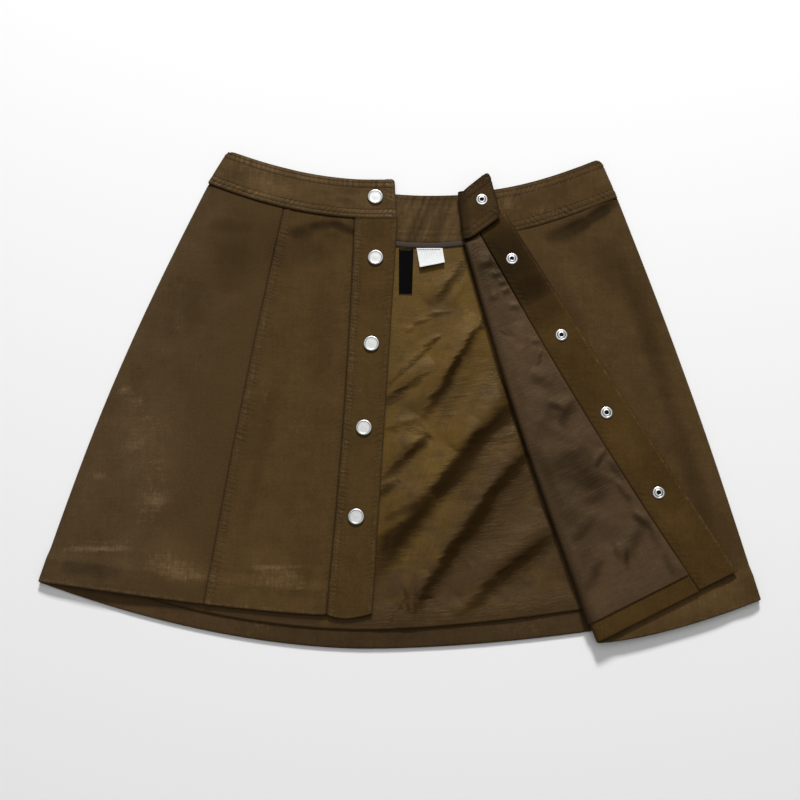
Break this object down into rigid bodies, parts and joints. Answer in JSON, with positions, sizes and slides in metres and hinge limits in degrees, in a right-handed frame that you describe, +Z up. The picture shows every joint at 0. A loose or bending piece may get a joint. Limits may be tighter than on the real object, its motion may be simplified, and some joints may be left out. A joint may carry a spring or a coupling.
{
  "type": "suede a-line skirt",
  "caption": "Above-knee A-line suede skirt laid flat with its snap placket open and one front folded back over itself, showing lining, facing and snap backs.",
  "frame": {"origin": "on the surface that the skirt lies on, under the middle of its outline", "axes": "+Y towards the waist, +Z up off the surface, +X towards the wearer's left, which is the folded-back side"},
  "size_m": [0.6498, 0.482, 0.0161],
  "materials": {
    "suede": "brown suede with a short matt nap, paler where it is rubbed",
    "satin_lining": "golden brown woven satin with a soft sheen",
    "binding_tape": "grey-brown woven tape",
    "dark_label": "black woven ribbon, bare",
    "pale_label": "white satin ribbon, bare",
    "snap_metal": "silver-coloured plate, lightly worn"
  },
  "bodies": {
    "root": {"back_panel": "suede", "back_lining": "satin_lining", "back_waistband": "suede", "waist_tape": "binding_tape", "right_side_front": "suede", "right_centre_front": "suede", "right_placket": "suede", "right_waistband": "suede", "left_side_front": "suede", "left_centre_front": "suede", "left_front_lining": "satin_lining", "left_placket": "suede", "left_waistband": "suede", "woven_label": "dark_label", "care_label": "pale_label", "snap_cap_1": "snap_metal", "snap_cap_2": "snap_metal", "snap_cap_3": "snap_metal", "snap_cap_4": "snap_metal", "snap_cap_5": "snap_metal", "snap_stud_1": "snap_metal", "snap_stud_2": "snap_metal", "snap_stud_3": "snap_metal", "snap_stud_4": "snap_metal", "snap_stud_5": "snap_metal"}
  },
  "joints": []
}
